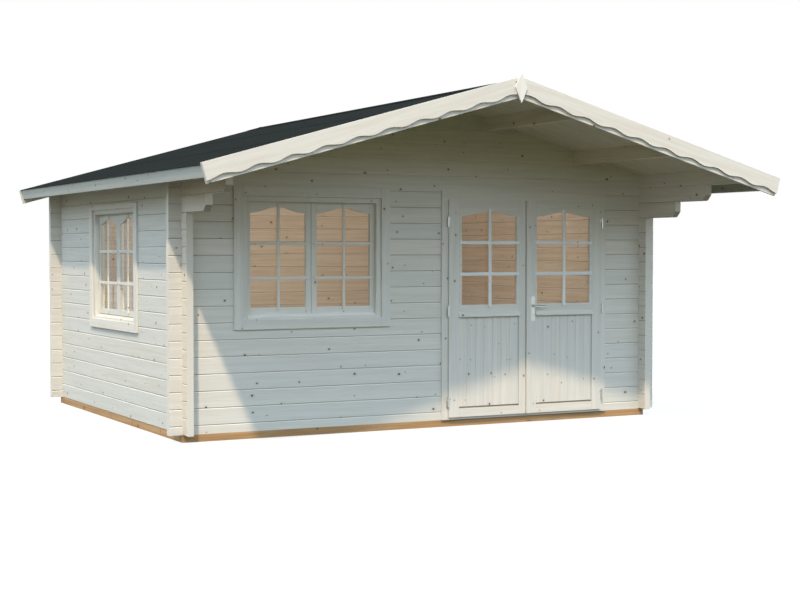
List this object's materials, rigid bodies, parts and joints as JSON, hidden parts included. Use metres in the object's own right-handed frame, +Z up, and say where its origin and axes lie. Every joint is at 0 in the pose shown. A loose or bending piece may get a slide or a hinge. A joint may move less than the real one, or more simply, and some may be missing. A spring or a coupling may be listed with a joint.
{
  "type": "garden cabin",
  "caption": "Gabled log garden cabin with a deep front canopy, scalloped bargeboards, casement windows and a glazed hinged double door.",
  "frame": {"origin": "on the ground under the ridge, midway along the roof's length", "axes": "+X across the gable to the right of someone facing the door, +Y from the front gable to the back, +Z up"},
  "size_m": [5.192, 5.255, 2.8829],
  "materials": {
    "log_spruce": "whitewashed sawn spruce logs",
    "joinery_spruce": "whitewashed planed spruce",
    "trim_spruce": "whitewashed planed boards",
    "soffit_spruce": "whitewashed tongued boards",
    "brown_timber": "brown impregnated timber",
    "pine_floor": "bare planed pine",
    "roofing_felt": "mineral-faced bitumen felt",
    "window_glass": "clear float glass",
    "satin_steel": "satin nickel-plated steel"
  },
  "bodies": {
    "cabin": {"foundation_front": "brown_timber", "foundation_back": "brown_timber", "foundation_left": "brown_timber", "foundation_right": "brown_timber", "floor_joists": "brown_timber", "floor_boards": "pine_floor", "front_wall_low": "log_spruce", "front_wall_left_pier": "log_spruce", "front_wall_middle_pier": "log_spruce", "front_wall_right_pier": "log_spruce", "front_gable": "log_spruce", "back_wall": "log_spruce", "left_wall_low": "log_spruce", "left_wall_front_pier": "log_spruce", "left_wall_rear_pier": "log_spruce", "left_wall_top": "log_spruce", "right_wall": "log_spruce", "purlins": "soffit_spruce", "roof_boards_left": "soffit_spruce", "roof_boards_right": "soffit_spruce", "roof_felt_left": "roofing_felt", "roof_felt_right": "roofing_felt", "eave_boards": "trim_spruce", "front_bargeboard_left": "trim_spruce", "front_bargeboard_right": "trim_spruce", "front_scallop_left": "trim_spruce", "front_scallop_right": "trim_spruce", "gable_diamond": "trim_spruce", "back_bargeboard_left": "trim_spruce", "back_bargeboard_right": "trim_spruce", "front_window_casing": "joinery_spruce", "front_window_frame": "joinery_spruce", "front_window_sashes": "joinery_spruce", "front_window_glass": "window_glass", "left_window_casing": "joinery_spruce", "left_window_frame": "joinery_spruce", "left_window_sashes": "joinery_spruce", "left_window_glass": "window_glass", "door_jambs": "joinery_spruce", "door_head": "joinery_spruce", "door_threshold": "joinery_spruce", "door_hinge_pins": "satin_steel"},
    "left_door": {"left_door_leaf": "joinery_spruce", "left_door_panel": "joinery_spruce", "left_door_glass": "window_glass", "left_door_knuckles": "satin_steel"},
    "right_door": {"right_door_leaf": "joinery_spruce", "right_door_panel": "joinery_spruce", "right_door_glass": "window_glass", "right_door_knuckles": "satin_steel", "door_cover_strip": "joinery_spruce", "door_handle_plates": "satin_steel"},
    "lever": {"door_lever": "satin_steel"}
  },
  "joints": [
    {"name": "left_door_hinge", "type": "hinge", "parent": "cabin", "child": "left_door", "pos_m": [0.147, -1.2255, 0.999], "axis": [0, 0, -1], "range_deg": [0, 110]},
    {"name": "right_door_hinge", "type": "hinge", "parent": "cabin", "child": "right_door", "pos_m": [1.745, -1.2255, 0.999], "axis": [0, 0, 1], "range_deg": [0, 110]},
    {"name": "lever_turn", "type": "hinge", "parent": "right_door", "child": "lever", "pos_m": [1.005, -1.2215, 1.027], "axis": [0, 1, 0], "range_deg": [0, 35], "stiffness_Nm_per_rad": 2, "springref_deg": -28.65}
  ]
}
